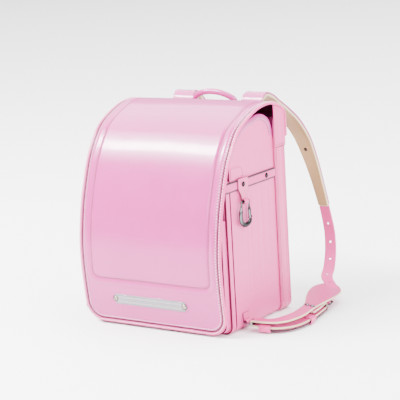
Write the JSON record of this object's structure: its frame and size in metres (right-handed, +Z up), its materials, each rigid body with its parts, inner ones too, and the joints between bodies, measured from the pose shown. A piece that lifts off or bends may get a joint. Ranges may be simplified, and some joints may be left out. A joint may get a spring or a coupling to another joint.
{
  "type": "school ransel",
  "caption": "Hard-sided school backpack with a long curved front flap, padded shoulder straps, side snap hooks and a bare plate on the flap.",
  "frame": {"origin": "middle of the bag's flat base, on the floor it stands on", "axes": "+Z up, -Y out of the flap's front, +X towards the wearer's right"},
  "size_m": [0.3972, 0.3259, 0.3256],
  "materials": {
    "pink_leather": "smooth glossy synthetic leather",
    "side_leather": "fine-grained synthetic leather",
    "rose_leather": "painted binding and edges",
    "cream_lining": "soft matt lining",
    "chrome": "polished plated metal",
    "silver_plate": "brushed silver plate"
  },
  "bodies": {
    "bag": {"back_border": "side_leather", "back_pad": "cream_lining", "back_panel": "side_leather", "belt_buckle_left": "chrome", "belt_buckle_right": "chrome", "belt_lining_left": "cream_lining", "belt_lining_right": "cream_lining", "belt_outer_left": "pink_leather", "belt_outer_right": "pink_leather", "belt_ring_left": "chrome", "belt_ring_right": "chrome", "belt_rivet_left": "chrome", "belt_rivet_right": "chrome", "bottom_clasp": "chrome", "buckle_prong_left": "chrome", "buckle_prong_right": "chrome", "flap": "pink_leather", "flap_binding": "pink_leather", "flap_panel": "pink_leather", "front_panel": "side_leather", "front_pocket": "side_leather", "handle": "pink_leather", "holed_strap_left": "pink_leather", "holed_strap_right": "pink_leather", "hook_tab_left": "pink_leather", "hook_tab_right": "pink_leather", "keeper_far_left": "pink_leather", "keeper_far_right": "pink_leather", "keeper_near_left": "pink_leather", "keeper_near_right": "pink_leather", "leaf_rivet_inner_left": "chrome", "leaf_rivet_inner_right": "chrome", "leaf_rivet_outer_left": "chrome", "leaf_rivet_outer_right": "chrome", "lower_belt_left": "pink_leather", "lower_belt_right": "pink_leather", "main_gusset": "side_leather", "name_plate": "silver_plate", "plate_rivet_left": "chrome", "plate_rivet_right": "chrome", "ring_tab_left": "pink_leather", "ring_tab_right": "pink_leather", "side_belt_left": "pink_leather", "side_belt_right": "pink_leather", "slim_pocket": "side_leather", "slip_pocket": "side_leather", "strap_anchor": "chrome", "tab_rivet_left": "chrome", "tab_rivet_right": "chrome"},
    "hook_left": {"hook_ring_left": "chrome"},
    "gate_left": {"hook_gate_left": "chrome"},
    "hook_right": {"hook_ring_right": "chrome"},
    "gate_right": {"hook_gate_right": "chrome"}
  },
  "joints": [
    {"name": "hook_swing_left", "type": "hinge", "parent": "bag", "child": "hook_left", "pos_m": [-0.125, -0.044, 0.188], "axis": [0, 1, 0], "range_deg": [0, 95]},
    {"name": "gate_swing_left", "type": "hinge", "parent": "hook_left", "child": "gate_left", "pos_m": [-0.125, -0.03469, 0.18105], "axis": [-1, 0, 0], "range_deg": [0, 20]},
    {"name": "hook_swing_right", "type": "hinge", "parent": "bag", "child": "hook_right", "pos_m": [0.125, -0.044, 0.188], "axis": [0, -1, 0], "range_deg": [0, 95]},
    {"name": "gate_swing_right", "type": "hinge", "parent": "hook_right", "child": "gate_right", "pos_m": [0.125, -0.03469, 0.18105], "axis": [-1, 0, 0], "range_deg": [0, 20]}
  ]
}
